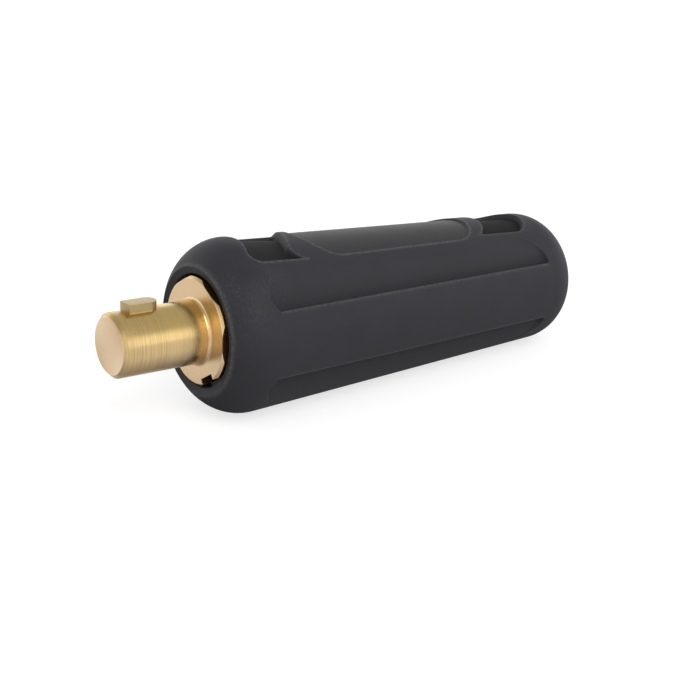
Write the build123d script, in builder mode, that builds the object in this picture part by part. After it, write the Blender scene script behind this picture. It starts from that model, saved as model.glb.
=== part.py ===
"""Bayonet-type welding cable plug for 35 to 50 square millimetre cable, in millimetres.

A turned brass contact carries a 13 mm pin with a bayonet lug, a flange with six milled
flats and a hollow barrel, where two socket grub screws clamp the conductor in a rolled
copper ferrule. A moulded rubber sleeve is pushed on from behind and keyed to the flange.
The X axis runs along the plug from the pin to the cable, Z goes up through the lug, and
the origin is the centre of the flange's front face, at the root of the pin. An angle
round the axis is 0 where it faces -Y and 90 where it faces up.
"""
from build123d import *
import os
from math import cos, radians, sin, sqrt, tan

# Contact pin and its bayonet lug
PIN_DIAMETER = 13.0
PIN_LENGTH = 19.0
PIN_TIP_CHAMFER = 0.8
PIN_ROOT_FILLET = 0.7
LUG_WIDTH = 3.8
LUG_LENGTH = 6.6
LUG_HEIGHT = 1.6
LUG_SETBACK = 3.6
LUG_HEEL_FLAT = 0.2

# Flange with six milled flats and a key slot
FLANGE_DIAMETER = 22.4
FLANGE_ACROSS_FLATS = 21.2
FLANGE_THICKNESS = 5.0
FLANGE_CHAMFER = 0.5
KEY_SLOT_ANGLE = -60.0
KEY_SLOT_WIDTH = 4.4
KEY_SLOT_BELOW_BARREL = 0.8

# Barrel, conductor bore and tapped holes
BARREL_DIAMETER = 20.4
BARREL_LENGTH = 43.0
BARREL_END_CHAMFER = 0.8
RELIEF_WIDTH = 1.2
RELIEF_BELOW_SLOT = 0.3
BORE_DIAMETER = 10.6
BORE_DEPTH = 34.0
DRILL_POINT_ANGLE = 118.0
BORE_MOUTH_CHAMFER = 0.6
SCREW_DIAMETER = 8.0
SCREW_FROM_BARREL_END = {"front": 27.0, "rear": 13.0}

# Grub screws
SCREW_SOCKET_ACROSS_FLATS = 4.0
SCREW_SOCKET_DEPTH = 2.2
SCREW_TOP_CHAMFER = 0.6
SCREW_POINT_CHAMFER = 0.9
SCREW_CUP_DIAMETER = 4.4
SCREW_CUP_DEPTH = 0.6
SCREW_FIT = 0.05
SCREW_TIP_GAP = 0.1
SCREW_TOP_GAP = 0.05

# Rolled copper ferrule
FERRULE_THICKNESS = 0.4
FERRULE_LENGTH = 28.0
FERRULE_SLIT = 1.2
FERRULE_FIT = 0.1
FERRULE_END_GAP = 1.5

# Rubber sleeve, outside
RIM_X = 0.4
RIM_DIAMETER = 26.2
NOSE_RADIUS = 9.7
SHOULDER_X = 9.0
SHOULDER_DIAMETER = 36.2
TAIL_X = 88.0
TAIL_DIAMETER = 29.8
TAIL_RADIUS = 9.0
END_FACE_WIDTH = 1.5
MOUTH_CHAMFER = 0.8

# Rubber sleeve, inside
RECESS_FIT = 0.4
SLEEVE_BORE_FIT = 0.3
RECESS_STEP_GAP = 0.3
LIP_DEPTH = 0.5
BARREL_END_GAP = 0.5
THROAT_LENGTH = 6.0
CABLE_HOLE_DIAMETER = 15.6
KEY_X = 1.9
KEY_SIDE_GAP = 0.25
KEY_TIP_STEP = 0.1
KEY_ROOT = 1.0

# Grip facets between the ribs
FACET_START_X = 8.6
FACET_END_X = 86.2
FACET_STEP = 1.1
RIB_HALF_WIDTH_FRONT = 6.95
RIB_HALF_WIDTH_REAR = 6.5
FACET_TOP_ANGLE = 54.0
FACET_OVERSHOOT = 0.25
FACET_CREASE = 7.0
FACET_CORNER = 1.4

# Narrow flat that the sleeve lies on, along the middle of its bottom rib
REST_FLAT_DEPTH = 0.15

# Front pocket, nameplate panel and rear pocket along the top
FRONT_POCKET_START_X = 9.4
FRONT_POCKET_BULGE = 3.1
FRONT_POCKET_END_X = 20.9
FRONT_POCKET_SLANT = 23.0
FRONT_POCKET_FLARE = 3.0
FRONT_POCKET_HALF_WIDTH = 9.6
FRONT_POCKET_CORNER = 2.4
FRONT_POCKET_FRONT_DEPTH = 1.0
FRONT_POCKET_REAR_DEPTH = 2.0
PANEL_START_X = 23.0
PANEL_END_X = 69.7
PANEL_FRONT_BULGE = 4.8
PANEL_REAR_BULGE = 5.0
PANEL_FRONT_HALF_WIDTH = 9.5
PANEL_REAR_HALF_WIDTH = 8.4
PANEL_CORNER = 1.2
PANEL_DEPTH = 0.4
REAR_POCKET_GAP = 4.4
REAR_POCKET_LENGTH = 12.9
REAR_POCKET_BULGE = 4.8
REAR_POCKET_HALF_WIDTH = 7.6
REAR_POCKET_CORNER = 0.8
REAR_POCKET_DEPTH = 1.3

# Values that follow from the driving sizes
PIN_R = PIN_DIAMETER / 2
FLANGE_R = FLANGE_DIAMETER / 2
BARREL_R = BARREL_DIAMETER / 2
KEY_SLOT_FLOOR_R = BARREL_R - KEY_SLOT_BELOW_BARREL
BORE_R = BORE_DIAMETER / 2
RIM_R = RIM_DIAMETER / 2
SHOULDER_R = SHOULDER_DIAMETER / 2
TAIL_R = TAIL_DIAMETER / 2
CABLE_HOLE_R = CABLE_HOLE_DIAMETER / 2
TAPER = (TAIL_R - SHOULDER_R) / (TAIL_X - SHOULDER_X)
BARREL_START_X = FLANGE_THICKNESS
BARREL_END_X = BARREL_START_X + BARREL_LENGTH
BORE_BOTTOM_X = BARREL_END_X - BORE_DEPTH
SCREW_X = {place: BARREL_END_X - back for place, back in SCREW_FROM_BARREL_END.items()}
DRILL_POINT = BORE_R / tan(radians(DRILL_POINT_ANGLE / 2))
RECESS_R = FLANGE_R + RECESS_FIT
RECESS_END_X = FLANGE_THICKNESS + RECESS_STEP_GAP
SLEEVE_BORE_R = BARREL_R + SLEEVE_BORE_FIT
KEY_TIP_R = SLEEVE_BORE_R + KEY_TIP_STEP
SLEEVE_BORE_END_X = BARREL_END_X + BARREL_END_GAP
THROAT_END_X = SLEEVE_BORE_END_X + THROAT_LENGTH
TAIL_CENTRE_R = TAIL_R - TAIL_RADIUS
END_FACE_R = CABLE_HOLE_R + END_FACE_WIDTH
END_X = TAIL_X + sqrt(TAIL_RADIUS**2 - (END_FACE_R - TAIL_CENTRE_R) ** 2)
TALL = 2 * SHOULDER_R


def outer_radius(x, inset=0.0):
    """Radius of the sleeve's tapering body at x, less an inset."""
    return SHOULDER_R + TAPER * (x - SHOULDER_X) - inset


def radial_plane(angle, x=0.0):
    """A plane across the axis at x whose own x direction points outwards at an angle."""
    outwards = (0, -cos(radians(angle)), sin(radians(angle)))
    return Plane(origin=(x, 0, 0), x_dir=outwards, z_dir=(1, 0, 0))


def make_contact_plug():
    """The turned and milled brass contact: pin, lug, flange and hollow barrel."""
    # The key slot runs out into the relief groove behind the flange
    relief_r = KEY_SLOT_FLOOR_R - RELIEF_BELOW_SLOT
    with BuildPart() as plug:
        with BuildSketch(Plane.XZ):
            with BuildLine():
                Polyline(
                    (0, PIN_R + PIN_ROOT_FILLET),
                    (0, FLANGE_R - FLANGE_CHAMFER),
                    (FLANGE_CHAMFER, FLANGE_R),
                    (FLANGE_THICKNESS, FLANGE_R),
                    (FLANGE_THICKNESS, relief_r),
                    (FLANGE_THICKNESS + RELIEF_WIDTH, relief_r),
                    (FLANGE_THICKNESS + RELIEF_WIDTH, BARREL_R),
                    (BARREL_END_X - BARREL_END_CHAMFER, BARREL_R),
                    (BARREL_END_X, BARREL_R - BARREL_END_CHAMFER),
                    (BARREL_END_X, BORE_R + BORE_MOUTH_CHAMFER),
                    (BARREL_END_X - BORE_MOUTH_CHAMFER, BORE_R),
                    (BORE_BOTTOM_X, BORE_R),
                    (BORE_BOTTOM_X - DRILL_POINT, 0),
                    (-PIN_LENGTH, 0),
                    (-PIN_LENGTH, PIN_R - PIN_TIP_CHAMFER),
                    (-PIN_LENGTH + PIN_TIP_CHAMFER, PIN_R),
                    (-PIN_ROOT_FILLET, PIN_R),
                )
                TangentArc(
                    (-PIN_ROOT_FILLET, PIN_R),
                    (0, PIN_R + PIN_ROOT_FILLET),
                    tangent=(1, 0),
                )
            make_face()
        revolve(axis=Axis.X)

        # Six flats are milled on the flange, with a turned land left straight above the axis
        with BuildSketch(Plane.YZ):
            Circle(TALL)
            RegularPolygon(
                FLANGE_ACROSS_FLATS / 2, 6, major_radius=False, rotation=30, mode=Mode.SUBTRACT
            )
        extrude(amount=FLANGE_THICKNESS, mode=Mode.SUBTRACT)

        # Key slot through one of the lower flats
        with BuildSketch(radial_plane(KEY_SLOT_ANGLE)):
            with Locations((KEY_SLOT_FLOOR_R, 0)):
                Rectangle(FLANGE_R, KEY_SLOT_WIDTH, align=(Align.MIN, Align.CENTER))
        extrude(amount=FLANGE_THICKNESS, mode=Mode.SUBTRACT)

        # Tapped holes from the top of the barrel into the conductor bore
        with BuildSketch(Plane.XY):
            with Locations([(x, 0) for x in SCREW_X.values()]):
                Circle(SCREW_DIAMETER / 2)
        extrude(amount=BARREL_R, mode=Mode.SUBTRACT)

        # Bayonet lug, square at the front and rounded at its heel
        with BuildSketch(Plane.XY):
            with Locations((-PIN_LENGTH + LUG_SETBACK, 0)):
                Rectangle(LUG_LENGTH, LUG_WIDTH, align=(Align.MIN, Align.CENTER))
            fillet(vertices().group_by(Axis.X)[-1], (LUG_WIDTH - LUG_HEEL_FLAT) / 2)
        extrude(amount=PIN_R + LUG_HEIGHT)
    return plug


def make_clamp_screw(x):
    """A socket grub screw with a cup point, standing over the ferrule at x."""
    shank_r = SCREW_DIAMETER / 2 - SCREW_FIT
    tip_z = BORE_R - FERRULE_FIT + SCREW_TIP_GAP
    top_rim_r = shank_r - SCREW_TOP_CHAMFER
    top_z = sqrt((BARREL_R - SCREW_TOP_GAP) ** 2 - top_rim_r**2)
    cup_r = SCREW_CUP_DIAMETER / 2
    with BuildPart() as screw:
        with BuildSketch(Plane.XZ):
            with BuildLine():
                Polyline(
                    (x, tip_z + SCREW_CUP_DEPTH),
                    (x + cup_r - SCREW_CUP_DEPTH, tip_z + SCREW_CUP_DEPTH),
                    (x + cup_r, tip_z),
                    (x + shank_r - SCREW_POINT_CHAMFER, tip_z),
                    (x + shank_r, tip_z + SCREW_POINT_CHAMFER),
                    (x + shank_r, top_z - SCREW_TOP_CHAMFER),
                    (x + top_rim_r, top_z),
                    (x, top_z),
                    close=True,
                )
            make_face()
        revolve(axis=Axis((x, 0, 0), (0, 0, 1)))
        with BuildSketch(Plane.XY.offset(top_z)):
            with Locations((x, 0)):
                RegularPolygon(SCREW_SOCKET_ACROSS_FLATS / 2, 6, major_radius=False)
        extrude(amount=-SCREW_SOCKET_DEPTH, mode=Mode.SUBTRACT)
    return screw


def make_wire_ferrule():
    """A strip of copper sheet rolled into an open sleeve, with its slit at the bottom."""
    outer_r = BORE_R - FERRULE_FIT
    end_x = BARREL_END_X - FERRULE_END_GAP
    with BuildPart() as ferrule:
        with BuildSketch(Plane.YZ.offset(end_x - FERRULE_LENGTH)):
            Circle(outer_r)
            Circle(outer_r - FERRULE_THICKNESS, mode=Mode.SUBTRACT)
            with Locations((0, -outer_r)):
                Rectangle(FERRULE_SLIT, outer_r, mode=Mode.SUBTRACT)
        extrude(amount=FERRULE_LENGTH)
    return ferrule


def facet_section(x, half_width):
    """The section at x of what one grip facet takes away beside the side rib."""
    radius = outer_radius(x)
    reach = radius + TALL
    floor_r = radius - FACET_STEP
    top = radians(FACET_TOP_ANGLE)
    slope = radians(FACET_TOP_ANGLE - FACET_CREASE)
    foot = (-sqrt(floor_r**2 - half_width**2), half_width)
    crest = (-(radius + FACET_OVERSHOOT) * cos(top), (radius + FACET_OVERSHOOT) * sin(top))
    with BuildSketch(Plane.YZ.offset(x)) as section:
        with BuildLine():
            TangentArc(crest, foot, tangent=(-sin(slope), -cos(slope)))
            Polyline(
                foot,
                (-reach, half_width),
                (-reach, reach * sin(top)),
                (-reach * cos(top), reach * sin(top)),
                crest,
            )
        make_face()
    return section.sketch


def make_facet_cutter():
    """What the four grip facets take away, two on each side of the plug."""
    with BuildPart() as cutter:
        add(facet_section(FACET_START_X, RIB_HALF_WIDTH_FRONT))
        add(facet_section(FACET_END_X, RIB_HALF_WIDTH_REAR))
        loft(ruled=True)
        steps = cutter.edges().filter_by(Axis.Y).group_by(Axis.Z)[0]
        chamfer(steps, FACET_CORNER)
        mirror(about=Plane.XZ)
        mirror(about=Plane.XY)
    return cutter


def make_recess_cutter(outline, front_depth, rear_depth):
    """What a recess takes away inside an outline seen from above, to a floor between two depths."""
    start_x = outline.bounding_box().min.X - 1
    end_x = outline.bounding_box().max.X + 1
    with BuildPart() as cutter:
        add(outline)
        extrude(amount=TALL)
        with BuildSketch(Plane.XZ):
            Polygon(
                (start_x, 0),
                (start_x, outer_radius(start_x, front_depth)),
                (end_x, outer_radius(end_x, rear_depth)),
                (end_x, 0),
                align=None,
            )
        revolve(axis=Axis.X, mode=Mode.SUBTRACT)
    return cutter


def make_rest_flat_cutter():
    """What the narrow flat takes away along the bottom rib, following its taper."""
    with BuildPart() as cutter:
        with BuildSketch(Plane.XZ):
            Polygon(
                (0, -outer_radius(0, REST_FLAT_DEPTH)),
                (0, -TALL),
                (END_X, -TALL),
                (END_X, -outer_radius(END_X, REST_FLAT_DEPTH)),
                align=None,
            )
        extrude(amount=SHOULDER_R, both=True)
    return cutter


def front_pocket_outline():
    """A pocket with a curved front end and a slanted rear end that flares on the near side."""
    half = FRONT_POCKET_HALF_WIDTH
    flare = FRONT_POCKET_FLARE
    slope = tan(radians(FRONT_POCKET_SLANT))
    bend_x = FRONT_POCKET_END_X + (flare - half) * slope
    corner_x = FRONT_POCKET_START_X - FRONT_POCKET_BULGE
    with BuildSketch(Plane.XY) as outline:
        with BuildLine():
            TangentArc((bend_x, flare - half), (bend_x + flare, -half), tangent=(0, -1))
            Line((bend_x + flare, -half), (corner_x, -half))
            ThreePointArc((corner_x, -half), (FRONT_POCKET_START_X, 0), (corner_x, half))
            Polyline(
                (corner_x, half),
                (FRONT_POCKET_END_X + half * slope, half),
                (bend_x, flare - half),
            )
        make_face()
        fillet(vertices().sort_by(Axis.X)[:2], FRONT_POCKET_CORNER)
    return outline.sketch


def panel_outline():
    """A long nameplate panel with round ends, narrowing with the sleeve."""
    front_x = PANEL_START_X + PANEL_FRONT_BULGE
    rear_x = PANEL_END_X - PANEL_REAR_BULGE
    with BuildSketch(Plane.XY) as outline:
        with BuildLine():
            Line((front_x, -PANEL_FRONT_HALF_WIDTH), (rear_x, -PANEL_REAR_HALF_WIDTH))
            ThreePointArc(
                (rear_x, -PANEL_REAR_HALF_WIDTH),
                (PANEL_END_X, 0),
                (rear_x, PANEL_REAR_HALF_WIDTH),
            )
            Line((rear_x, PANEL_REAR_HALF_WIDTH), (front_x, PANEL_FRONT_HALF_WIDTH))
            ThreePointArc(
                (front_x, PANEL_FRONT_HALF_WIDTH),
                (PANEL_START_X, 0),
                (front_x, -PANEL_FRONT_HALF_WIDTH),
            )
        make_face()
        fillet(vertices(), PANEL_CORNER)
    return outline.sketch


def rear_pocket_outline():
    """A curved pocket that follows the round end of the panel."""
    crest_x = PANEL_END_X + REAR_POCKET_GAP
    corner_x = crest_x - REAR_POCKET_BULGE
    half = REAR_POCKET_HALF_WIDTH
    with BuildSketch(Plane.XY) as outline:
        with BuildLine():
            ThreePointArc((corner_x, -half), (crest_x, 0), (corner_x, half))
            Line((corner_x, half), (corner_x + REAR_POCKET_LENGTH, half))
            ThreePointArc(
                (corner_x + REAR_POCKET_LENGTH, half),
                (crest_x + REAR_POCKET_LENGTH, 0),
                (corner_x + REAR_POCKET_LENGTH, -half),
            )
            Line((corner_x + REAR_POCKET_LENGTH, -half), (corner_x, -half))
        make_face()
        fillet(vertices(), REAR_POCKET_CORNER)
    return outline.sketch


def make_rubber_sleeve():
    """The moulded sleeve: round nose, tapering ribbed body, domed tail and stepped bore."""
    cutters = [
        make_facet_cutter(),
        make_rest_flat_cutter(),
        make_recess_cutter(
            front_pocket_outline(), FRONT_POCKET_FRONT_DEPTH, FRONT_POCKET_REAR_DEPTH
        ),
        make_recess_cutter(panel_outline(), PANEL_DEPTH, PANEL_DEPTH),
        make_recess_cutter(rear_pocket_outline(), REAR_POCKET_DEPTH, REAR_POCKET_DEPTH),
    ]
    with BuildPart() as sleeve:
        with BuildSketch(Plane.XZ):
            with BuildLine():
                RadiusArc((RIM_X, RIM_R), (SHOULDER_X, SHOULDER_R), NOSE_RADIUS)
                Line((SHOULDER_X, SHOULDER_R), (TAIL_X, TAIL_R))
                TangentArc((TAIL_X, TAIL_R), (END_X, END_FACE_R), tangent=(1, 0))
                Polyline(
                    (END_X, END_FACE_R),
                    (END_X, CABLE_HOLE_R + MOUTH_CHAMFER),
                    (END_X - MOUTH_CHAMFER, CABLE_HOLE_R),
                    (THROAT_END_X, CABLE_HOLE_R),
                    (SLEEVE_BORE_END_X, SLEEVE_BORE_R),
                    (RECESS_END_X, SLEEVE_BORE_R),
                    (RECESS_END_X, RECESS_R),
                    (RIM_X + LIP_DEPTH, RECESS_R),
                    (RIM_X, RIM_R),
                )
            make_face()
        revolve(axis=Axis.X)
        for cutter in cutters:
            add(cutter.part, mode=Mode.SUBTRACT)

        # Key that stands in the flange's slot and still clears the barrel as the sleeve slides
        with BuildSketch(radial_plane(KEY_SLOT_ANGLE, KEY_X)):
            with Locations((KEY_TIP_R, 0)):
                Rectangle(
                    RECESS_R + KEY_ROOT - KEY_TIP_R,
                    KEY_SLOT_WIDTH - 2 * KEY_SIDE_GAP,
                    align=(Align.MIN, Align.CENTER),
                )
        extrude(amount=RECESS_END_X - KEY_X)
    return sleeve


def main():
    """Make every piece and write it as a STEP file."""
    pieces = {
        "contact_plug": make_contact_plug(),
        "wire_ferrule": make_wire_ferrule(),
        "rubber_sleeve": make_rubber_sleeve(),
    }
    for place, x in SCREW_X.items():
        pieces[f"clamp_screw_{place}"] = make_clamp_screw(x)
    os.makedirs("parts", exist_ok=True)
    for name, piece in pieces.items():
        piece.part.label = name
        export_step(piece.part, f"parts/{name}.step")


main()
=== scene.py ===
"""Looks for the bayonet-type welding cable plug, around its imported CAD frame.

The rubber sleeve, the grub screws and the copper ferrule are surfaces worked out with
numpy in millimetres and put into meshes in metres. The brass contact keeps its CAD mesh.
An angle round the plug's axis is 0 where it faces -Y and 90 degrees where it faces up.
"""

from math import asin, atan2, cos, hypot, pi, radians, sin, sqrt, tan

import bpy
import numpy as np
from mathutils import Matrix, Vector


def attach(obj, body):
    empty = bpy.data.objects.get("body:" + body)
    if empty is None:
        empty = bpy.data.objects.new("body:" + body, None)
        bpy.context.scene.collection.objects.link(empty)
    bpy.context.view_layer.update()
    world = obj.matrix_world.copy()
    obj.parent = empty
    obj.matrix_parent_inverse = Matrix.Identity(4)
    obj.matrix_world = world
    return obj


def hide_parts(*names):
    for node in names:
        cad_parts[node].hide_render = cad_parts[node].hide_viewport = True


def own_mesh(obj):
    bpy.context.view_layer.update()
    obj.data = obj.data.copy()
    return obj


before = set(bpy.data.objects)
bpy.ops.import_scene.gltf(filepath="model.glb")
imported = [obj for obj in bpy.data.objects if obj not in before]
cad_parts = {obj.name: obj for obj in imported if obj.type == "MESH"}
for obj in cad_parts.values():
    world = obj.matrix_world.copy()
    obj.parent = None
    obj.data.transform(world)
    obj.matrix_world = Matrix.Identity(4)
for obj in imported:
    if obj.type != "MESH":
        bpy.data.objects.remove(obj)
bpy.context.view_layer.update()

MM = 0.001

# Camera, solved from the photograph's outline, pin and flange
VIEW_TARGET = (39.4, -0.64, -10.23)
VIEW_AZIMUTH = -38.19
VIEW_ELEVATION = 17.81
VIEW_ROLL = 2.30
VIEW_DISTANCE = 300.0
VIEW_LENS = 70.48
VIEW_SENSOR = 36.0
VIEW_CLIP_START = 10.0

# Levels of the room, the floor's own glow to the camera, and the lamp
WORLD_OVERHEAD = 0.64
WORLD_HORIZON = 1.45
WORLD_LEFT = 0.8
FLOOR_COLOR = 0.42
FLOOR_GLOW = 0.7
FLOOR_SHINE = 0.5
FLOOR_SHADE_Y = (2.0, 24.0)
FLOOR_HALF = 4000.0
KEY_PLACE = (-250, -1350, 1350)
KEY_SIZE = 1300
KEY_POWER = 15.0

# Sleeve outside
RIM_X = 0.4
RIM_R = 13.1
NOSE_RADIUS = 9.7
SHOULDER_X = 9.0
SHOULDER_R = 18.1
TAIL_X = 88.0
TAIL_R = 14.9
TAIL_RADIUS = 9.0
END_FACE_R = 9.3
MOUTH_CHAMFER = 0.8
CABLE_HOLE_R = 7.8
REST_FLAT_DEPTH = 0.15
TAPER = (TAIL_R - SHOULDER_R) / (TAIL_X - SHOULDER_X)

# Sleeve inside
LIP_DEPTH = 0.5
RECESS_R = 11.6
RECESS_END_X = 5.3
SLEEVE_BORE_R = 10.5
SLEEVE_BORE_END_X = 48.5
THROAT_END_X = 54.5
KEY_ANGLE = radians(-60)
KEY_X = 1.9
KEY_TIP_R = 10.6
KEY_HALF_WIDTH = 1.95

# Grip facets
FACET_STEP = 1.1
FACET_TOP = radians(54)
FACET_OVERSHOOT = 0.25
FACET_CREASE = radians(7)
RIB_HALF_WIDTH = (6.95, 6.5)
FACET_SPAN_X = (8.6, 86.2)
FACET_WALL = 0.45
FACET_FOOT_ROUND = 0.4
FACET_EDGE_ROUND = 0.35

# Curves of the facets' ends, in millimetres and radians from the horizontal
FACET_FRONT_X = 8.0
FACET_FRONT_BEND = 0.54
FACET_FRONT_SLOPES = (9.9, 4.2)
FACET_FRONT_CURVE = 6.5
FACET_REAR_X = 86.0
FACET_REAR_BEND = 0.49
FACET_REAR_CURVE = 34.0

# Recesses along the top
POCKET_X = (9.4, 20.9)
POCKET_BULGE = 3.1
POCKET_SLANT = radians(23)
POCKET_FLARE = 3.0
POCKET_HALF_WIDTH = 9.6
POCKET_CORNER = 2.4
POCKET_SPAN_X = (6.97, 25.97)
POCKET_DEPTH = (1.0, 2.0)
POCKET_WALL = 0.6
PANEL_X = (23.0, 69.7)
PANEL_BULGE = (4.8, 5.0)
PANEL_HALF_WIDTH = (9.5, 8.4)
PANEL_CORNER = 1.2
PANEL_DEPTH = 0.4
REAR_POCKET_X = (74.1, 87.0)
REAR_POCKET_BULGE = 4.8
REAR_POCKET_HALF_WIDTH = 7.6
REAR_POCKET_CORNER = 0.8
REAR_POCKET_DEPTH = 1.3
RECESS_WALL = 0.45

# Where the skin's nose arc and tail arc take over from the grid of the body
BODY_SPAN_X = (6.5, 92.0)

# Steps of the skin's grid, packed where facets and recesses begin and end
ROW_STOPS = (9.0, 10.2, 20.1, 21.2, 22.7, 23.9, 68.8, 70.0, 73.8, 75.0, 82.0, 86.2, 87.3, 88.0)
ROW_STEPS = (7, 13, 15, 11, 5, 9, 52, 9, 7, 9, 8, 6, 9, 4, 9)
ANGLE_STEPS = (12, 4, 6, 5, 10, 4, 10, 15)
NOSE_ROWS = 26
TAIL_ROWS = 14

# Painted highlight lines: their middle and width outside an edge, and how strong each kind of
# edge's line is
HIGHLIGHT_MIDDLE = 0.15
HIGHLIGHT_WIDTH = 0.28
HIGHLIGHT_RIB = 0.7
HIGHLIGHT_PANEL = 0.9
HIGHLIGHT_POCKET = 0.7
HIGHLIGHT_REAR_POCKET = 0.5
HIGHLIGHT_RIM = 0.9

# Grub screws
SCREW_X = {"front": 21.0, "rear": 35.0}
SCREW_R = 3.95
SCREW_TIP_Z = 5.3
SCREW_TOP_Z = 9.58
SCREW_POINT_R = 3.05
SCREW_TOP_R = 3.35
SCREW_CUP_R = 2.2
SCREW_CUP_DEPTH = 0.6
SOCKET_HALF_WIDTH = 2.0
SOCKET_DEPTH = 2.2
SOCKET_MOUTH = 1.06
SOCKET_MOUTH_DEPTH = 0.12
THREAD_PITCH = 1.25
THREAD_DEPTH = 0.7
SCREW_COLUMNS = 48
SCREW_ROWS = 58

# Copper ferrule, split between the two screws
FERRULE_X = (18.5, 28.0, 46.5)
FERRULE_R = 5.2
FERRULE_THICKNESS = 0.4
FERRULE_SLIT = 1.2
FERRULE_SECTIONS = 97


def mesh_object(name, points, faces, sharp=None):
    """A mesh object at the origin, from points in millimetres and faces.

    It is shaded smooth, but for edges that turn more than the sharp angle.
    """
    mesh = bpy.data.meshes.new(name)
    mesh.from_pydata((np.asarray(points) * MM).tolist(), [], faces)
    mesh.validate()
    mesh.shade_smooth()
    if sharp:
        mesh.set_sharp_from_angle(angle=sharp)
    piece = bpy.data.objects.new(name, mesh)
    bpy.context.scene.collection.objects.link(piece)
    return piece


def grid_faces(rows, columns, close_rows=False, turned=False):
    """Quads between the neighbours of a grid whose points are numbered row by row.

    Each row closes on itself. Turned quads face the other way.
    """
    row = np.arange(rows if close_rows else rows - 1)[:, None]
    column = np.arange(columns)[None, :]
    next_row = (row + 1) % rows
    next_column = (column + 1) % columns
    quads = np.stack(
        (
            row * columns + column,
            row * columns + next_column,
            next_row * columns + next_column,
            next_row * columns + column,
        ),
        axis=-1,
    )
    return quads[..., :: -1 if turned else 1].reshape(-1, 4).tolist()


def around(x, radius, angle):
    """Points at x, at a radius and an angle round the plug's axis."""
    x, radius, angle = np.broadcast_arrays(x, radius, angle)
    return np.stack((x, -radius * np.cos(angle), radius * np.sin(angle)), axis=-1)


def smooth_step(t):
    """0 below 0, 1 above 1, and an S-curve between: six t^5, less fifteen t^4, and so on."""
    t = np.clip(t, 0, 1)
    return t * t * t * (t * (6 * t - 15) + 10)


def soft_min(a, b, width):
    """The lesser of two values, with a parabola where they differ by less than a width."""
    blend = np.clip(0.5 + 0.5 * (b - a) / width, 0, 1)
    return b + (a - b) * blend - width * blend * (1 - blend)


def soft_max(a, b, width):
    """The greater of two values, with a parabola where they differ by less than a width."""
    return -soft_min(-a, -b, width)


def divide(stops, counts):
    """Values that run through the stops, with that many equal steps between each pair."""
    runs = [
        np.linspace(low, high, count, endpoint=False)
        for low, high, count in zip(stops[:-1], stops[1:], counts)
    ]
    return np.concatenate(runs + [np.array([stops[-1]])])


def quarter_turn(angle):
    """How far an angle is from the horizontal: 0 at both sides, 90 above and below."""
    return np.arctan2(np.abs(np.sin(angle)), np.abs(np.cos(angle)))


def cone_radius(x):
    """Radius of the sleeve's tapering body, carried on past both of its ends."""
    return SHOULDER_R + TAPER * (x - SHOULDER_X)


def nose_centre():
    """Centre of the nose's arc in x and radius, the same distance from rim and shoulder."""
    middle = ((RIM_X + SHOULDER_X) / 2, (RIM_R + SHOULDER_R) / 2)
    run, rise = SHOULDER_X - RIM_X, SHOULDER_R - RIM_R
    chord = hypot(run, rise)
    drop = sqrt(NOSE_RADIUS**2 - (chord / 2) ** 2)
    return middle[0] + drop * rise / chord, middle[1] - drop * run / chord


def profile_radius(x):
    """Radius of the sleeve without its facets: nose arc, then cone, then tail arc."""
    nose_x, nose_r = nose_centre()
    nose = nose_r + np.sqrt(np.maximum(NOSE_RADIUS**2 - (x - nose_x) ** 2, 0))
    tail = TAIL_R - TAIL_RADIUS + np.sqrt(np.maximum(TAIL_RADIUS**2 - (x - TAIL_X) ** 2, 0))
    return np.where(x < SHOULDER_X, nose, np.where(x > TAIL_X, tail, cone_radius(x)))


def along_body(x, pair, span):
    """A value that goes evenly from the first of a pair to the second over a span of x."""
    return np.interp(x, span, pair)


def facet_angles(x):
    """Angles of the rib's edge and of the foot of the facet's step at x."""
    half = along_body(x, RIB_HALF_WIDTH, FACET_SPAN_X)
    radius = cone_radius(np.clip(x, *FACET_SPAN_X))
    return np.arcsin(half / radius), np.arcsin(half / (radius - FACET_STEP))


def facet_radius(x, angle):
    """Radius of a grip facet: a level step beside the rib, then an arc up to its crest.

    The arc goes through the step's foot and meets the crest at a slope, so its radius is
    the squared chord over twice the chord's share along the arc's normal at the crest.
    """
    x = np.clip(x, *FACET_SPAN_X)
    half = along_body(x, RIB_HALF_WIDTH, FACET_SPAN_X)
    radius = cone_radius(x)
    slope = FACET_TOP - FACET_CREASE
    foot_y = np.sqrt((radius - FACET_STEP) ** 2 - half**2)
    crest_y = (radius + FACET_OVERSHOOT) * cos(FACET_TOP)
    crest_z = (radius + FACET_OVERSHOOT) * sin(FACET_TOP)
    chord_y, chord_z = foot_y - crest_y, half - crest_z
    arc = -(chord_y**2 + chord_z**2) / (2 * (chord_y * cos(slope) + chord_z * sin(slope)))
    centre_y, centre_z = crest_y - arc * cos(slope), crest_z - arc * sin(slope)
    along = centre_y * np.cos(angle) + centre_z * np.sin(angle)
    across = np.sqrt(np.maximum(arc**2 - centre_y**2 - centre_z**2 + along**2, 0))
    step = half / np.maximum(np.sin(angle), 0.01)
    return soft_max(step, along + across, FACET_FOOT_ROUND)


def facet_front(angle):
    """Where a facet starts: a slanted corner by the rib, then curving back to its crest.

    From the bend it falls back by a slope times the angle on either side, and on the
    crest's side also by the curve times the angle squared.
    """
    corner = np.maximum(FACET_FRONT_BEND - angle, 0)
    crest = np.maximum(angle - FACET_FRONT_BEND, 0)
    slanted = FACET_FRONT_SLOPES[0] * corner + FACET_FRONT_SLOPES[1] * crest
    return FACET_FRONT_X + slanted + FACET_FRONT_CURVE * crest**2


def facet_rear(angle):
    """Where a facet ends: earlier towards its crest, by the squared angle past the bend."""
    return FACET_REAR_X - FACET_REAR_CURVE * np.maximum(angle - FACET_REAR_BEND, 0) ** 2


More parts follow.
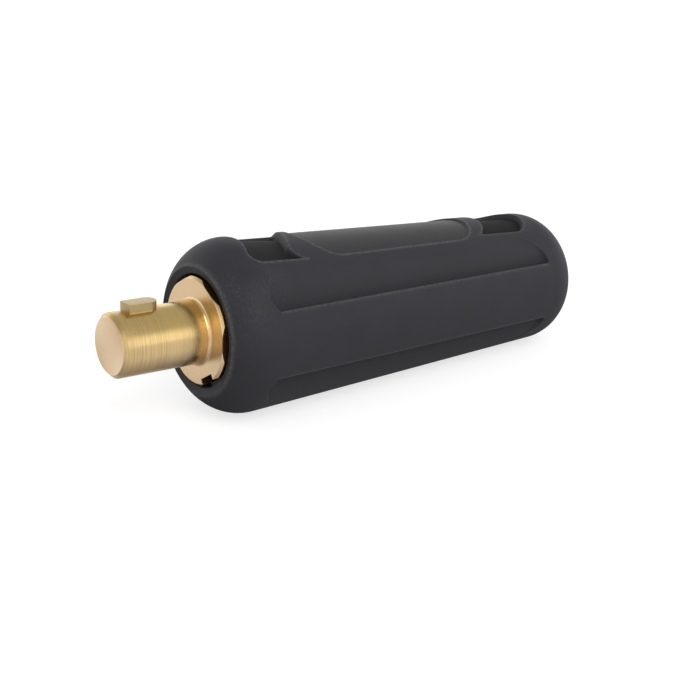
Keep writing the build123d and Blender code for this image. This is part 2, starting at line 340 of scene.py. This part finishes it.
def recess_half_width(x):
    """Half the width of the recesses along the top at x, seen from above."""
    stops = (
        POCKET_X[1],
        PANEL_X[0] + PANEL_BULGE[0],
        PANEL_X[1] - PANEL_BULGE[1],
        REAR_POCKET_X[0] - REAR_POCKET_BULGE,
    )
    widths = (
        POCKET_HALF_WIDTH,
        PANEL_HALF_WIDTH[0],
        PANEL_HALF_WIDTH[1],
        REAR_POCKET_HALF_WIDTH,
    )
    return np.interp(x, stops, widths)


def recess_angle(x):
    """Angle at which the recesses' long sides lie at x."""
    return np.arccos(recess_half_width(x) / cone_radius(np.clip(x, *FACET_SPAN_X)))


def pocket_rear_x(y):
    """x of the front pocket's rear edge at y: slanted, and flared at its near end."""
    near = POCKET_FLARE - POCKET_HALF_WIDTH
    out = np.clip(near - y, 0, POCKET_FLARE)
    slanted = POCKET_X[1] + np.maximum(y, near) * tan(POCKET_SLANT)
    return slanted + POCKET_FLARE - np.sqrt(POCKET_FLARE**2 - out**2)


def pocket_inside(x, y):
    """Distance inside the front pocket's curved front end and its sides, with round corners.

    The arc's centre is ahead of it, so a point inside is further off than its radius. Past
    a corner's centre, seen from both edges, the distance is that from the corner's circle.
    """
    arc = end_arc(POCKET_HALF_WIDTH, POCKET_BULGE)
    centre_x = POCKET_X[0] - arc
    corner_y = POCKET_HALF_WIDTH - POCKET_CORNER
    corner_x = centre_x + sqrt((arc + POCKET_CORNER) ** 2 - corner_y**2)
    over_x, over_y = x - corner_x, np.abs(y) - corner_y
    past = over_y * (corner_x - centre_x) > over_x * corner_y
    straight = np.minimum(np.hypot(x - centre_x, y) - arc, POCKET_HALF_WIDTH - np.abs(y))
    gap = POCKET_CORNER - np.hypot(over_x, over_y)
    return np.where((over_x < 0) & past, gap, straight)


def end_arc(half_width, bulge):
    """Radius of the arc over a chord of twice the half width that bulges that far."""
    return (half_width**2 + bulge**2) / (2 * bulge)


def arc_x(y, apex_x, half_width, bulge, side):
    """x of a round end at y: the apex, less what the arc falls back from it."""
    radius = end_arc(half_width, bulge)
    y = np.minimum(np.abs(y), half_width)
    return apex_x + side * (radius - np.sqrt(radius**2 - y**2))


def inside_corner(first, second, radius):
    """Distance inside two edges at once, rounded where both are nearer than a radius."""
    gaps = np.hypot(np.maximum(radius - first, 0), np.maximum(radius - second, 0))
    return radius - gaps


def recess_gaps(x, angle):
    """Distances of a point inside the edges of front pocket, panel and rear pocket."""
    radius = cone_radius(x)
    y = -radius * np.cos(angle)
    side = radius * (quarter_turn(angle) - recess_angle(x))

    rear = (pocket_rear_x(y) - x) * cos(POCKET_SLANT)
    pocket = inside_corner(pocket_inside(x, y), rear, POCKET_WALL)

    arcs = [end_arc(half, bulge) for half, bulge in zip(PANEL_HALF_WIDTH, PANEL_BULGE)]
    start_x, end_x = PANEL_X[0] + arcs[0], PANEL_X[1] - arcs[1]
    front = np.where(x < start_x, arcs[0] - np.hypot(x - start_x, y), PANEL_CORNER)
    rear = np.where(x > end_x, arcs[1] - np.hypot(x - end_x, y), PANEL_CORNER)
    panel = inside_corner(np.minimum(front, rear), side, PANEL_CORNER)

    arc = end_arc(REAR_POCKET_HALF_WIDTH, REAR_POCKET_BULGE)
    front = np.hypot(x - REAR_POCKET_X[0] + arc, y) - arc
    rear = arc - np.hypot(x - REAR_POCKET_X[1] + arc, y)
    front = np.where(x > REAR_POCKET_X[0] - arc, front, -1)
    rear = np.where(x > REAR_POCKET_X[1] - arc, rear, REAR_POCKET_CORNER)
    crescent = inside_corner(np.minimum(front, rear), side, REAR_POCKET_CORNER)

    below = 10.0 * (np.sin(angle) <= 0)
    return [gap - below for gap in (pocket, panel, crescent)]


def recess_depth(x, angle):
    """Depth of the pockets and the panel along the top."""
    pocket, panel, crescent = recess_gaps(x, angle)
    floor = np.interp(x, POCKET_SPAN_X, POCKET_DEPTH)
    return (
        floor * smooth_step(pocket / POCKET_WALL)
        + PANEL_DEPTH * smooth_step(panel / RECESS_WALL)
        + REAR_POCKET_DEPTH * smooth_step(crescent / RECESS_WALL)
    )


def facet_share(x, angle):
    """How far into a grip facet a point is along the plug, 0 before its ends to 1 between."""
    quarter = quarter_turn(angle)
    front = smooth_step((x - facet_front(quarter)) / FACET_WALL + 0.5)
    return front * smooth_step((facet_rear(quarter) - x) / FACET_WALL + 0.5)


def facet_cut(x, angle):
    """What the grip facets take from the radius at x and an angle."""
    cone = cone_radius(x)
    cut = cone - soft_min(cone, facet_radius(x, quarter_turn(angle)), FACET_EDGE_ROUND)
    return np.maximum(cut, 0) * facet_share(x, angle)


def sleeve_radius(x, angle):
    """Radius of the sleeve's outside at x and an angle, with facets, recesses and flat."""
    cone = cone_radius(x)
    down = np.maximum(-np.sin(angle), 0.5)
    flat = np.maximum(cone - (cone - REST_FLAT_DEPTH) / down, 0)
    return profile_radius(x) - facet_cut(x, angle) - recess_depth(x, angle) - flat


def sleeve_shade_polish_highlight(x, angle):
    """Three shares over the outside: how much painted shade a spot takes, how polished it is
    and how much painted highlight it takes.

    Shade is painted into the pockets and at the foot of each facet, and the panel is
    polished. A highlight is painted along the edges, by a bell curve of the distance from a
    line just outside each of them.
    """
    pocket, panel, crescent = recess_gaps(x, angle)
    depth = np.clip(facet_cut(x, angle) / FACET_STEP, 0, 1)
    # Painted shade: marks the pockets and the foot of each facet to be darkened
    hollow_shade = smooth_step(np.maximum(pocket / POCKET_WALL, crescent / RECESS_WALL) - 0.3)
    hollow_shade = np.maximum(hollow_shade, depth**2 * 0.4)
    rib = (facet_angles(x)[0] - quarter_turn(angle)) * cone_radius(x)
    # Painted highlight: lines just outside the rib's edge, the recesses' rims and the sleeve's rim
    lines = (
        (rib, HIGHLIGHT_RIB * facet_share(x, angle)),
        (-panel, HIGHLIGHT_PANEL),
        (-pocket, HIGHLIGHT_POCKET),
        (-crescent, HIGHLIGHT_REAR_POCKET),
        (x - RIM_X, HIGHLIGHT_RIM),
    )
    edge_highlight = [
        share * np.exp(-(((gap - HIGHLIGHT_MIDDLE) / HIGHLIGHT_WIDTH) ** 2)) for gap, share in lines
    ]
    return hollow_shade, smooth_step(panel / RECESS_WALL), np.maximum.reduce(edge_highlight)


def sleeve_angles(x):
    """The grid's angles at x, packed along the rib's edges and the recesses' sides."""
    edge, foot = facet_angles(x)
    side = recess_angle(x)
    close = 0.5 / cone_radius(x)
    zero = np.zeros_like(x)
    stops = [zero, edge - close, edge, foot, foot + close, zero + FACET_TOP - 0.05]
    stops += [side - close, side + 1.3 * close, zero + pi / 2]
    quarter = divide(stops, ANGLE_STEPS)
    half = np.concatenate((quarter, pi - quarter[::-1][1:]))
    return np.concatenate((half, -half[::-1][1:-1])).T


def sleeve_stations(x, angle):
    """The grid's x at an angle: even steps bent to follow the recesses' curved ends."""
    quarter = quarter_turn(angle)
    reach = recess_half_width(x)
    y = np.clip(-cone_radius(x) * np.cos(angle), -reach, reach)
    inside = smooth_step((quarter - recess_angle(x)) / radians(6) + 1)
    rear_x = arc_x(y, REAR_POCKET_X[1], REAR_POCKET_HALF_WIDTH, REAR_POCKET_BULGE, -1)
    front_x = arc_x(y, POCKET_X[0], POCKET_HALF_WIDTH, POCKET_BULGE, -1)
    first = facet_front(quarter) + (front_x - facet_front(quarter)) * inside
    last = facet_rear(quarter) + (rear_x - facet_rear(quarter)) * inside
    nominal = BODY_SPAN_X[:1] + POCKET_X + PANEL_X + REAR_POCKET_X + BODY_SPAN_X[1:]
    bent = (
        BODY_SPAN_X[0],
        np.maximum(first, BODY_SPAN_X[0] + 0.9),
        pocket_rear_x(y),
        arc_x(y, PANEL_X[0], PANEL_HALF_WIDTH[0], PANEL_BULGE[0], 1),
        arc_x(y, PANEL_X[1], PANEL_HALF_WIDTH[1], PANEL_BULGE[1], -1),
        arc_x(y, REAR_POCKET_X[0], REAR_POCKET_HALF_WIDTH, REAR_POCKET_BULGE, -1),
        last,
        BODY_SPAN_X[1],
    )
    result = np.zeros_like(angle + x)
    for low, high, start, stop in zip(nominal[:-1], nominal[1:], bent[:-1], bent[1:]):
        share = (x - low) / (high - low)
        result = np.where((share >= 0) & (share <= 1), start + (stop - start) * share, result)
    return result


def sleeve_inside():
    """Profile of the sleeve's inside in x and radius, from its tail end to its rim.

    Each corner is a small bevel between two points.
    """
    mouth_r = CABLE_HOLE_R + MOUTH_CHAMFER
    end_x = TAIL_X + sqrt(TAIL_RADIUS**2 - (END_FACE_R - TAIL_R + TAIL_RADIUS) ** 2)
    lip_x = RIM_X + LIP_DEPTH
    return np.array(
        [
            (end_x, END_FACE_R - 0.3),
            (end_x, mouth_r + 0.1),
            (end_x - 0.05, mouth_r - 0.05),
            (end_x - MOUTH_CHAMFER + 0.1, CABLE_HOLE_R + 0.05),
            (end_x - MOUTH_CHAMFER - 0.1, CABLE_HOLE_R),
            (THROAT_END_X + 0.5, CABLE_HOLE_R),
            (THROAT_END_X - 0.4, CABLE_HOLE_R + 0.2),
            (SLEEVE_BORE_END_X + 0.3, SLEEVE_BORE_R - 0.15),
            (SLEEVE_BORE_END_X - 0.3, SLEEVE_BORE_R),
            (RECESS_END_X + 0.2, SLEEVE_BORE_R),
            (RECESS_END_X, SLEEVE_BORE_R + 0.15),
            (RECESS_END_X, RECESS_R - 0.15),
            (RECESS_END_X - 0.2, RECESS_R),
            (lip_x + 0.1, RECESS_R),
            (lip_x - 0.12, RECESS_R + 0.16),
            (RIM_X + 0.3, RIM_R - 0.4),
            (RIM_X + 0.06, RIM_R - 0.14),
        ]
    ).T


def sleeve_key():
    """Points and faces of the key: a block in the recess, square to its own radius."""
    out = np.array((-cos(KEY_ANGLE), sin(KEY_ANGLE)))
    across = np.array((sin(KEY_ANGLE), cos(KEY_ANGLE)))
    corners = [
        (x, *(out * r + across * side))
        for x in (KEY_X, RECESS_END_X + 0.2)
        for r, side in (
            (KEY_TIP_R, -KEY_HALF_WIDTH),
            (KEY_TIP_R, KEY_HALF_WIDTH),
            (RECESS_R + 0.6, KEY_HALF_WIDTH),
            (RECESS_R + 0.6, -KEY_HALF_WIDTH),
        )
    ]
    faces = [(3, 2, 1, 0), (4, 5, 6, 7), (1, 5, 4, 0), (2, 6, 5, 1), (3, 7, 6, 2), (0, 4, 7, 3)]
    return np.array(corners), faces


def sleeve_skin():
    """The rubber sleeve: a closed grid round its wall, outside, tail, bore, lip and nose.

    Outside, a point at x and an angle lies at the profile's radius less the depth of
    facets and recesses. Inside, the profile is turned without change.
    """
    nose_x, nose_r = nose_centre()
    body_r = profile_radius(np.array(BODY_SPAN_X[0]))
    rim_turn = atan2(RIM_R - nose_r, RIM_X - nose_x)
    body_turn = atan2(body_r - nose_r, BODY_SPAN_X[0] - nose_x)
    turn = np.linspace(rim_turn, body_turn, NOSE_ROWS)
    nose = nose_x + NOSE_RADIUS * np.cos(turn), nose_r + NOSE_RADIUS * np.sin(turn)

    stops = BODY_SPAN_X[:1] + ROW_STOPS + BODY_SPAN_X[1:]
    body_x = divide(stops, ROW_STEPS)[1:]
    angles = sleeve_angles(np.clip(body_x, *FACET_SPAN_X))
    bent_x = sleeve_stations(body_x[:, None], angles)

    tail_centre = TAIL_R - TAIL_RADIUS
    turn = np.linspace(
        asin((BODY_SPAN_X[1] - TAIL_X) / TAIL_RADIUS),
        pi / 2 - asin((END_FACE_R - tail_centre) / TAIL_RADIUS),
        TAIL_ROWS,
    )[1:]
    tail = TAIL_X + TAIL_RADIUS * np.sin(turn), tail_centre + TAIL_RADIUS * np.cos(turn)

    inside = sleeve_inside()
    share = np.linspace(0, 1, inside.shape[1])[:, None]
    blended = angles[-1] * (1 - share) + angles[0] * share
    grid = np.concatenate(
        (
            around(nose[0][:, None], nose[1][:, None], angles[0]),
            around(bent_x, sleeve_radius(bent_x, angles), angles),
            around(tail[0][:, None], tail[1][:, None], angles[-1]),
            around(inside[0][:, None], inside[1][:, None], blended),
        )
    )
    nose_x = np.broadcast_to(nose[0][:, None], (nose[0].size, angles.shape[1]))
    tone_marks = np.concatenate(
        (
            np.stack(sleeve_shade_polish_highlight(nose_x, np.broadcast_to(angles[0], nose_x.shape)), axis=-1),
            np.stack(sleeve_shade_polish_highlight(bent_x, angles), axis=-1),
            np.zeros((tail[0].size + inside.shape[1], angles.shape[1], 3)),
        )
    )
    faces = grid_faces(*grid.shape[:2], close_rows=True, turned=True)
    points = grid.reshape(-1, 3)
    key_points, key_faces = sleeve_key()
    faces += [tuple(len(points) + corner for corner in face) for face in key_faces]
    skin = mesh_object("sleeve_skin", np.concatenate((points, key_points)), faces, radians(60))
    tone_marks = np.concatenate((tone_marks.reshape(-1, 3), np.zeros((len(key_points), 3))))
    # The attribute holds three shares: painted shade, the panel's polish and a painted edge
    # highlight
    shares = skin.data.attributes.new("tone_marks", "FLOAT_VECTOR", "POINT")
    shares.data.foreach_set("vector", tone_marks.ravel())
    return skin


def grub_screw(name, x):
    """A threaded grub screw with a hexagon socket and a cup point, as one closed skin.

    Each row of the skin is a ring at one height. The thread takes from the shank a
    triangle wave: twice the distance of height / pitch - turn from a whole number. The
    socket's rings are hexagons: half its width over the cosine from the flat's middle.
    """
    turn = np.arange(SCREW_COLUMNS) / SCREW_COLUMNS
    height = np.linspace(SCREW_TIP_Z, SCREW_TOP_Z, SCREW_ROWS)[1:-1, None]
    wave = height / THREAD_PITCH - turn
    shank = SCREW_R - THREAD_DEPTH * 2 * np.abs(wave - np.round(wave))
    shank = np.minimum(shank, SCREW_POINT_R + height - SCREW_TIP_Z)
    shank = np.minimum(shank, SCREW_TOP_R + SCREW_TOP_Z - height)
    flat = (turn * 2 * pi) % (pi / 3) - pi / 6
    socket = SOCKET_HALF_WIDTH / np.cos(flat)
    cup_z = SCREW_TIP_Z + SCREW_CUP_DEPTH
    rings = [
        (cup_z, SCREW_CUP_R - SCREW_CUP_DEPTH + 0 * turn),
        (SCREW_TIP_Z, SCREW_CUP_R + 0 * turn),
        (SCREW_TIP_Z, SCREW_POINT_R + 0 * turn),
        *zip(height[:, 0], shank),
        (SCREW_TOP_Z, SCREW_TOP_R + 0 * turn),
        (SCREW_TOP_Z, socket * SOCKET_MOUTH),
        (SCREW_TOP_Z - SOCKET_MOUTH_DEPTH, socket),
        (SCREW_TOP_Z - SOCKET_DEPTH, socket),
    ]
    radius = np.array([ring for _, ring in rings])
    level = np.array([z for z, _ in rings])[:, None] + 0 * radius
    across, along = np.sin(turn * 2 * pi), np.cos(turn * 2 * pi)
    spot = np.stack((x + radius * along, radius * across, level), axis=-1)
    faces = grid_faces(*radius.shape)
    last = radius.size - turn.size
    faces += [list(range(turn.size))[::-1], list(range(last, radius.size))]
    return mesh_object(name, spot.reshape(-1, 3), faces, radians(35))


def ferrule_piece(name, start_x, end_x):
    """A length of the rolled copper strip: a flat section carried round, open at the bottom."""
    slit = asin(FERRULE_SLIT / 2 / FERRULE_R)
    turn = np.linspace(slit - pi / 2, 3 * pi / 2 - slit, FERRULE_SECTIONS)[:, None]
    inner_r = FERRULE_R - FERRULE_THICKNESS
    across = np.array([start_x, end_x, end_x, start_x])
    points = around(across, np.array([FERRULE_R, FERRULE_R, inner_r, inner_r]), turn)
    last = 4 * (FERRULE_SECTIONS - 1)
    faces = grid_faces(FERRULE_SECTIONS, 4) + [(3, 2, 1, 0), tuple(range(last, last + 4))]
    return mesh_object(name, points.reshape(-1, 3), faces, radians(40))


class Signal:
    """A value inside a node tree. Arithmetic on it adds the Math nodes that work it out."""

    def __init__(self, nodes, socket):
        self.nodes = nodes
        self.socket = socket

    def math(self, operation, *values):
        inputs = dict(enumerate(values))
        return self.nodes.node("ShaderNodeMath", {"operation": operation}, inputs)

    def __add__(self, other):
        return self.math("ADD", self, other)

    def __radd__(self, other):
        return self.math("ADD", other, self)

    def __sub__(self, other):
        return self.math("SUBTRACT", self, other)

    def __rsub__(self, other):
        return self.math("SUBTRACT", other, self)

    def __mul__(self, other):
        return self.math("MULTIPLY", self, other)

    def __rmul__(self, other):
        return self.math("MULTIPLY", other, self)

    def __pow__(self, other):
        return self.math("POWER", self, other)

    def magnitude(self):
        return self.math("ABSOLUTE", self)

    def within(self, low, high):
        """0 where this is below low, 1 above high, and even between them."""
        inputs = {0: self, 1: low, 2: high}
        return self.nodes.node("ShaderNodeMapRange", {"clamp": True}, inputs)


class Nodes:
    """A node tree and one way to add any node to it."""

    def __init__(self, tree):
        self.tree = tree

    def node(self, kind, settings, inputs, output=0):
        """A node of a kind, its settings made first, then its sockets set or linked."""
        new = self.tree.nodes.new(kind)
        for name, value in settings.items():
            setattr(new, name, value)
        for name, value in inputs.items():
            if isinstance(value, Signal):
                self.tree.links.new(value.socket, new.inputs[name])
            else:
                new.inputs[name].default_value = value
        return Signal(self, new.outputs[output])

    def ray(self, name):
        """1 for one kind of ray, such as Is Camera Ray, and 0 for the others."""
        return self.node("ShaderNodeLightPath", {}, {}, name)


class Finish(Nodes):
    """One material: a Principled shader and the nodes that vary it over the surface."""

    def __init__(self, name, color, **constants):
        self.material = bpy.data.materials.new(name)
        self.material.use_nodes = True
        super().__init__(self.material.node_tree)
        self.shader = self.tree.nodes["Principled BSDF"]
        self.shader.inputs["Base Color"].default_value = (*color, 1)
        for socket, value in constants.items():
            self.shader.inputs[socket.replace("_", " ")].default_value = value

    def place(self):
        """Object coordinates, in metres."""
        return self.node("ShaderNodeTexCoord", {}, {}, "Object")

    def axes(self):
        """x, y and z of the object coordinates, each by itself."""
        spot = self.place()
        return [self.node("ShaderNodeSeparateXYZ", {}, {0: spot}, axis) for axis in range(3)]

    def noise(self, scale, detail=3.0, roughness=0.5, stretch=(1, 1, 1)):
        """Noise with features of about 1 / scale metres, stretched along the axes."""
        spot = self.node("ShaderNodeMapping", {}, {"Vector": self.place(), "Scale": stretch})
        inputs = {"Vector": spot, "Scale": scale, "Detail": detail, "Roughness": roughness}
        return self.node("ShaderNodeTexNoise", {}, inputs)

    def ripple(self, along, scale):
        """Noise along one value only, which draws fine parallel lines."""
        inputs = {"W": along, "Scale": scale, "Detail": 2.0}
        return self.node("ShaderNodeTexNoise", {"noise_dimensions": "1D"}, inputs)

    def near(self, spot, reach):
        """1 at a spot, given in millimetres, fading to 0 at a reach from it."""
        centre = tuple(value * MM for value in spot)
        inputs = {0: self.place(), 1: centre}
        gap = self.node("ShaderNodeVectorMath", {"operation": "DISTANCE"}, inputs, 1)
        return 1 - gap.within(0.3 * reach * MM, reach * MM)

    def blend(self, share, first, second):
        """A colour between two, by a share from 0 to 1."""
        first, second = [
            value if isinstance(value, Signal) else (*value, 1) for value in (first, second)
        ]
        inputs = {0: share, 6: first, 7: second}
        return self.node("ShaderNodeMix", {"data_type": "RGBA"}, inputs, 2)

    def bump(self, height, strength, distance):
        """A normal bent by a height from 0 to 1, with that distance in millimetres."""
        inputs = {"Height": height, "Strength": strength, "Distance": distance * MM}
        return self.node("ShaderNodeBump", {}, inputs)

    def drive(self, **sockets):
        """Link values to the shader's sockets."""
        for socket, value in sockets.items():
            self.tree.links.new(value.socket, self.shader.inputs[socket.replace("_", " ")])


def rubber_finish():
    """Black moulded rubber: satin, finely grained, faintly mottled, scuffed on the nose.

    The skin's own shares paint shade into its hollows, make its panel smoother and paint a
    highlight along its edges, broken up by specks.
    """
    rubber = (0.021, 0.0205, 0.025)
    finish = Finish("moulded_rubber", rubber, Roughness=0.6, Specular_IOR_Level=0.3)
    # The skin's attribute: painted shade in the hollows, the panel's polish, painted edge highlight
    tone_marks = finish.node("ShaderNodeAttribute", {"attribute_name": "tone_marks"}, {}, 1)
    hollow_shade, panel, edge_highlight = [
        finish.node("ShaderNodeSeparateXYZ", {}, {0: tone_marks}, axis) for axis in range(3)
    ]
    mottle = finish.noise(150, 4, 0.6)
    grain = finish.noise(2400, 2)
    specks = finish.noise(1500, 4, 0.75)
    nose = finish.near((4.0, -12.5, 10.0), 12)
    scuffs = specks.within(0.5, 0.72) * mottle.within(0.35, 0.6) * nose
    dark, pale = (0.0175, 0.017, 0.0215), (0.0225, 0.022, 0.028)
    color = finish.blend(mottle.within(0.35, 0.65), dark, pale)
    color = finish.blend(panel * 0.6, color, (0.021, 0.021, 0.0215))
    # Painted shade: near-black in the pockets and at the foot of each facet
    color = finish.blend(hollow_shade * 0.9, color, (0.006, 0.006, 0.006))
    color = finish.blend(scuffs * 0.32, color, (0.085, 0.082, 0.09))
    # Painted highlight along the edges, broken up by the specks
    color = finish.blend(edge_highlight * specks.within(0.3, 0.6), color, (0.075, 0.073, 0.078))
    finish.drive(
        Base_Color=color,
        Roughness=0.52 + mottle * 0.16 + hollow_shade * 0.35 - panel * 0.08,
        Normal=finish.bump(grain + mottle * 0.6, 0.3, 0.06),
    )
    return finish.material


def brass_finish():
    """Turned brass: rings across the axis and round each face, and a pinkish paler tip.

    The rings are noise along x plus the radius, so they run round the cylinders and lie
    as circles on the faces. They are deeper on the front of the pin. The tip, turned across,
    has a painted sheen, light in two opposite quarters and dark in the other two, and the lug
    is filed and a little green. Light and shade are painted in as well: paler below, darker above.
    """
    finish = Finish("turned_brass", (0.62, 0.45, 0.22), Metallic=1.0, Roughness=0.3)
    x, y, z = finish.axes()
    radius = (y * y + z * z) ** 0.5
    rings = finish.ripple(x + radius, 2700)
    coarse = finish.ripple(x + radius, 1000)
    front = 1 - x.within(-9.3 * MM, -9.1 * MM)
    tip = 1 - x.within(-18.95 * MM, -18.8 * MM)
    face = x.within(-0.3 * MM, -0.1 * MM) * (1 - x.within(0.1 * MM, 0.3 * MM))
    lug = z.within(6.35 * MM, 6.7 * MM) * (1 - x.within(-8 * MM, -7.8 * MM))
    # Painted sheen on the tip: light in two opposite quarters round its centre, dark in the other
    # two
    sheen_share = (0.5 + y * z * (1 / (MM * MM * 30))).within(0, 1)
    tarnish = finish.noise(110, 3, 0.6).within(0.4, 0.7)
    filed = finish.noise(900, 4, 0.65)
    # Painted light and shade: paler and pinker on the lower side, darker and more yellow above
    low = 1 - z.within(-3 * MM, 4 * MM)
    color = finish.blend(low, (0.64, 0.46, 0.17), (0.79, 0.575, 0.33))
    color = finish.blend(tarnish * 0.5, color, (0.56, 0.39, 0.19))
    grooves = rings.within(0.35, 0.65) * (0.2 + front * 0.3)
    color = finish.blend(grooves, color, (0.47, 0.32, 0.15))
    color = finish.blend(lug * (0.4 + filed * 0.8), color, (0.42, 0.33, 0.17))
    color = finish.blend(face * 0.8, color, (0.77, 0.57, 0.36))
    tip_sheen = finish.blend(sheen_share, (0.65, 0.46, 0.28), (0.86, 0.67, 0.46))
    color = finish.blend(tip * 0.9, color, tip_sheen)
    finish.drive(
        Base_Color=color,
        Roughness=0.17 + rings * 0.1 + tarnish * 0.08 + tip * 0.12 + lug * 0.15 + face * 0.08,
        Normal=finish.bump(rings * (0.4 + front * 0.6) + coarse * 0.3 + filed * lug * 4, 0.5, 0.02),
    )
    return finish.material


def steel_finish():
    """Black-oxide steel, dull, with paler rubbed patches at random."""
    finish = Finish("black_oxide_steel", (0.03, 0.03, 0.033), Metallic=1.0, Roughness=0.42)
    tone_marks = finish.noise(900, 3)
    finish.drive(
        Base_Color=finish.blend(tone_marks.within(0.55, 0.8), (0.03, 0.03, 0.033), (0.09, 0.088, 0.085)),
        Roughness=0.36 + tone_marks * 0.15,
    )
    return finish.material


def copper_finish():
    """Bright rolled copper sheet with faint rolling lines."""
    finish = Finish("rolled_copper", (0.72, 0.36, 0.24), Metallic=1.0, Roughness=0.3)
    lines = finish.noise(500, 3, 0.6, (0.08, 1, 1))
    finish.drive(
        Base_Color=finish.blend(lines.within(0.4, 0.7), (0.74, 0.37, 0.25), (0.62, 0.3, 0.2)),
        Roughness=0.22 + lines * 0.16,
    )
    return finish.material


def floor_finish():
    """A pale floor that keeps shadows and shows white to the camera and in reflections.

    Its share in reflections fades out under the plug, where its shadow would be.
    """
    material = bpy.data.materials.new("pale_floor")
    material.use_nodes = True
    nodes = Nodes(material.node_tree)
    nodes.tree.nodes.clear()
    diffuse = nodes.node("ShaderNodeBsdfDiffuse", {}, {"Color": (*[FLOOR_COLOR] * 3, 1)})
    place = nodes.node("ShaderNodeTexCoord", {}, {}, "Object")
    beside = nodes.node("ShaderNodeSeparateXYZ", {}, {0: place}, 1).magnitude()
    lit = beside.within(*[y * MM for y in FLOOR_SHADE_Y])
    shine = (nodes.ray("Is Glossy Ray") + nodes.ray("Is Transmission Ray")) * lit * FLOOR_SHINE
    strength = nodes.ray("Is Camera Ray") * FLOOR_GLOW + shine
    glow = nodes.node("ShaderNodeEmission", {}, {"Strength": strength})
    both = nodes.node("ShaderNodeAddShader", {}, {0: diffuse, 1: glow})
    output = nodes.tree.nodes.new("ShaderNodeOutputMaterial")
    nodes.tree.links.new(both.socket, output.inputs["Surface"])
    return material


def add_floor():
    """A wide floor that touches the sleeve's rest flat, so it slopes with the taper."""
    low = REST_FLAT_DEPTH - cone_radius(0.0)
    sides = np.array([(-1, -1), (1, -1), (1, 1), (-1, 1)]) * FLOOR_HALF
    corners = [(x, y, low - TAPER * x) for x, y in sides]
    floor = mesh_object("floor", corners, [(0, 1, 2, 3)])
    floor.data.materials.append(floor_finish())


def add_world():
    """A pale room, brighter near the horizon than overhead, and white to the camera.

    It dims a little towards -X, where the pin points.
    """
    world = bpy.data.worlds.new("studio")
    bpy.context.scene.world = world
    world.use_nodes = True
    nodes = Nodes(world.node_tree)
    way = nodes.node("ShaderNodeTexCoord", {}, {}, "Generated")
    left, height = [
        nodes.node("ShaderNodeSeparateXYZ", {}, {0: way}, axis) for axis in (0, 2)
    ]
    level = WORLD_OVERHEAD + (WORLD_HORIZON - WORLD_OVERHEAD) * (1 - height.within(0.38, 0.6))
    level = level * (WORLD_LEFT + (1 - WORLD_LEFT) * left.within(-0.9, 0.3))
    strength = level + nodes.ray("Is Camera Ray") * (1 - level)
    nodes.tree.links.new(strength.socket, nodes.tree.nodes["Background"].inputs["Strength"])
    nodes.tree.nodes["Background"].inputs["Color"].default_value = (1, 1, 1, 1)


def add_softbox(name, place, size, power, target=(40, 0, 0)):
    """A square area lamp that faces a target, sizes in millimetres, power in watts."""
    lamp = bpy.data.lights.new(name, "AREA")
    lamp.size = size * MM
    lamp.energy = power
    holder = bpy.data.objects.new(name, lamp)
    bpy.context.scene.collection.objects.link(holder)
    way = (Vector(target) - Vector(place)).normalized()
    turn = way.to_track_quat("-Z", "Y").to_matrix().to_4x4()
    holder.matrix_world = Matrix.Translation(Vector(place) * MM) @ turn


def add_camera():
    """The photograph's camera: its target, distance, direction, roll and lens."""
    azimuth, elevation = radians(VIEW_AZIMUTH), radians(VIEW_ELEVATION)
    back = Vector(
        (
            sin(azimuth) * cos(elevation),
            -cos(azimuth) * cos(elevation),
            sin(elevation),
        )
    )
    level = Vector((cos(azimuth), sin(azimuth), 0))
    up = back.cross(level)
    roll = radians(VIEW_ROLL)
    right = level * cos(roll) + up * sin(roll)
    up = back.cross(right)
    spot = (Vector(VIEW_TARGET) + VIEW_DISTANCE * back) * MM
    camera = bpy.data.objects.new("camera", bpy.data.cameras.new("camera"))
    camera.data.lens = VIEW_LENS
    camera.data.sensor_width = VIEW_SENSOR
    camera.data.clip_start = VIEW_CLIP_START * MM
    turn = Matrix((right, up, back)).transposed().to_4x4()
    camera.matrix_world = Matrix.Translation(spot) @ turn
    bpy.context.scene.collection.objects.link(camera)
    bpy.context.scene.camera = camera


add_camera()
add_world()
add_floor()
add_softbox("key", KEY_PLACE, KEY_SIZE, KEY_POWER)

sleeve = sleeve_skin()
sleeve.data.materials.append(rubber_finish())
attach(sleeve, "sleeve")
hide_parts("rubber_sleeve")

steel = steel_finish()
for place, x in SCREW_X.items():
    screw = grub_screw(f"{place}_grub_screw", x)
    screw.data.materials.append(steel)
    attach(screw, f"{place}_screw")
    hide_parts(f"clamp_screw_{place}")

copper = copper_finish()
for place, start_x, end_x in zip(SCREW_X, FERRULE_X[:-1], FERRULE_X[1:]):
    ferrule = ferrule_piece(f"{place}_ferrule", start_x, end_x)
    ferrule.data.materials.append(copper)
    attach(ferrule, "contact")
    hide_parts("wire_ferrule")
    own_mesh(ferrule)

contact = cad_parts["contact_plug"]
contact.data.materials.clear()
contact.data.materials.append(brass_finish())

bpy.context.scene.view_settings.view_transform = "Standard"
